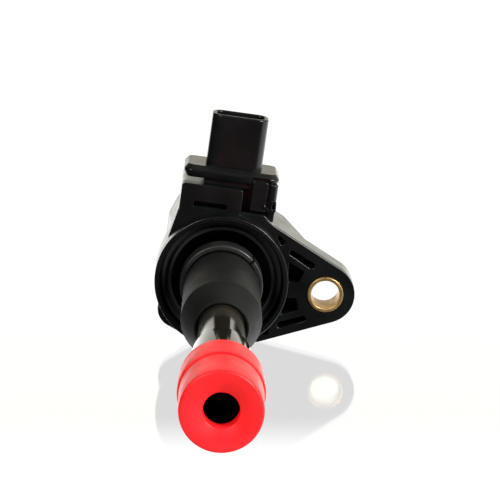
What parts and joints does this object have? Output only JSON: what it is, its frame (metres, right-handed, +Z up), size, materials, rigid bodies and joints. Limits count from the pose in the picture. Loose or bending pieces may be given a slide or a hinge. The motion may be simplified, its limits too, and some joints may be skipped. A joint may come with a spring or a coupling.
{
  "type": "ignition coil",
  "caption": "Coil-on-plug ignition coil: red spark plug boot, high-tension tube and round winding body, under a head with a sealing collar, a bolt ear and an upright plug socket.",
  "frame": {"origin": "centre of the bounding box's bottom face, on the surface that the coil lies on", "axes": "+Y runs from the boot's end to the head's end, +X is to the right seen from the boot's end, where the bolt ear stands, and +Z is up, where the connector stands; the coil's own axis is tilted up towards the head by 4.1 degrees because it lies on its boot and its collar, and the head is turned about it by 8 degrees"},
  "size_m": [0.0584, 0.1664, 0.0679],
  "materials": {
    "red_silicone": "satin silicone",
    "gloss_black_plastic": "high gloss",
    "satin_black_plastic": "satin moulding",
    "matt_black_plastic": "matt",
    "black_rubber": "matt",
    "grey_steel": "mill finish, grey",
    "brass": "bright",
    "tinned_copper": "tinned",
    "spring_steel": "bright",
    "core_steel": "mill finish",
    "magnet": "sintered, dark grey",
    "copper_wire": "enamelled copper",
    "bobbin_plastic": "natural",
    "ceramic": "unglazed",
    "aluminium": "plain",
    "epoxy": "poured resin"
  },
  "bodies": {
    "coil": {"spark_plug_boot": "red_silicone", "hv_tube": "gloss_black_plastic", "coil_sleeve": "matt_black_plastic", "retaining_ring": "grey_steel", "plug_well_seal": "black_rubber", "head_housing": "satin_black_plastic", "connector_housing": "satin_black_plastic", "mounting_bush": "brass", "terminal_pin_1": "tinned_copper", "terminal_pin_2": "tinned_copper", "terminal_pin_3": "tinned_copper", "potting_resin": "epoxy", "contact_spring": "spring_steel", "suppression_resistor": "ceramic", "hv_terminal": "brass", "central_core": "core_steel", "core_magnet_front": "magnet", "core_magnet_rear": "magnet", "core_cushion_front": "black_rubber", "core_cushion_rear": "black_rubber", "secondary_bobbin": "bobbin_plastic", "secondary_winding": "copper_wire", "primary_bobbin": "bobbin_plastic", "primary_winding": "copper_wire", "outer_core": "core_steel", "igniter_module": "epoxy", "igniter_heat_sink": "aluminium", "primary_lead_supply": "copper_wire", "primary_lead_switched": "copper_wire"},
    "contact": {"contact_cup": "spring_steel"}
  },
  "joints": [
    {"name": "contact_slide", "type": "slide", "parent": "coil", "child": "contact", "axis": [0, 0.9976, 0.0689], "range_m": [0, 0.005], "stiffness_N_per_m": 400, "deforming": ["contact_spring"]}
  ]
}
